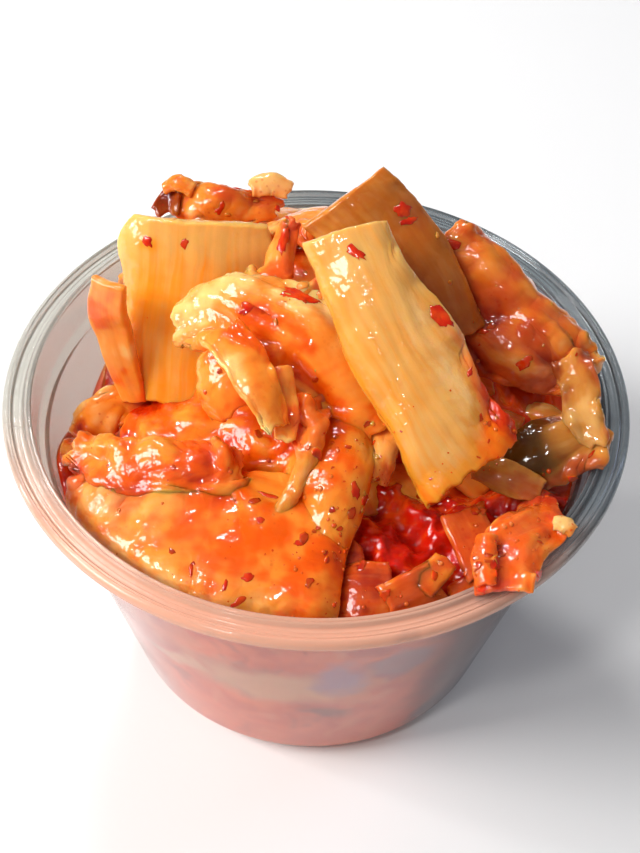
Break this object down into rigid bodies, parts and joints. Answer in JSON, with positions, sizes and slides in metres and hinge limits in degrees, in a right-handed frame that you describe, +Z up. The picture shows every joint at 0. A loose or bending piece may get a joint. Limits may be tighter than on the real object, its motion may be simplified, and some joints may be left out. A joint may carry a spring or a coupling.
{
  "type": "kimchi in a portion cup",
  "caption": "Clear plastic portion cup heaped with cabbage kimchi: pale ribs and wrinkled orange leaves lean on a packed mass of chilli-stained cuttings.",
  "frame": {"origin": "centre of the cup's flat base, on the surface that it stands on", "axes": "+Z up the cup's axis; -Y towards the viewer, where the cut ends of the leaves hang; the tallest ribs lean back towards +Y"},
  "size_m": [0.076, 0.076, 0.0681],
  "materials": {
    "cup_plastic": "frosted translucent polypropylene, soft shine",
    "packed_kimchi": "wet chilli paste and cuttings",
    "pale_stem": "wet cabbage rib, fibrous, slightly translucent",
    "amber_stem": "wet cabbage rib stained by the sauce, translucent",
    "brown_stem": "wet cabbage rib in shade, stained",
    "orange_leaf": "wet cabbage leaf stained orange, wrinkled",
    "red_leaf": "wet cabbage leaf stained red",
    "green_leaf": "wet leaf with a pale rib and a dark green part"
  },
  "bodies": {
    "root": {"cup": "cup_plastic", "stem_front": "pale_stem", "stem_back": "brown_stem", "leaf_centre": "orange_leaf", "stem_left": "amber_stem", "shred_top": "orange_leaf", "stalk_centre": "pale_stem", "leaf_under_stem": "orange_leaf", "leaf_front_left": "orange_leaf", "leaf_left": "orange_leaf", "leaf_under_left": "orange_leaf", "leaf_curl_left": "red_leaf", "leaf_rim_right": "green_leaf", "leaf_right": "red_leaf", "leaf_fold_front_right": "orange_leaf", "tuft_back_left": "red_leaf", "leaf_back_left": "orange_leaf", "leaf_back_centre": "orange_leaf", "stem_back_right": "pale_stem", "packed_heap": "packed_kimchi"}
  },
  "joints": []
}
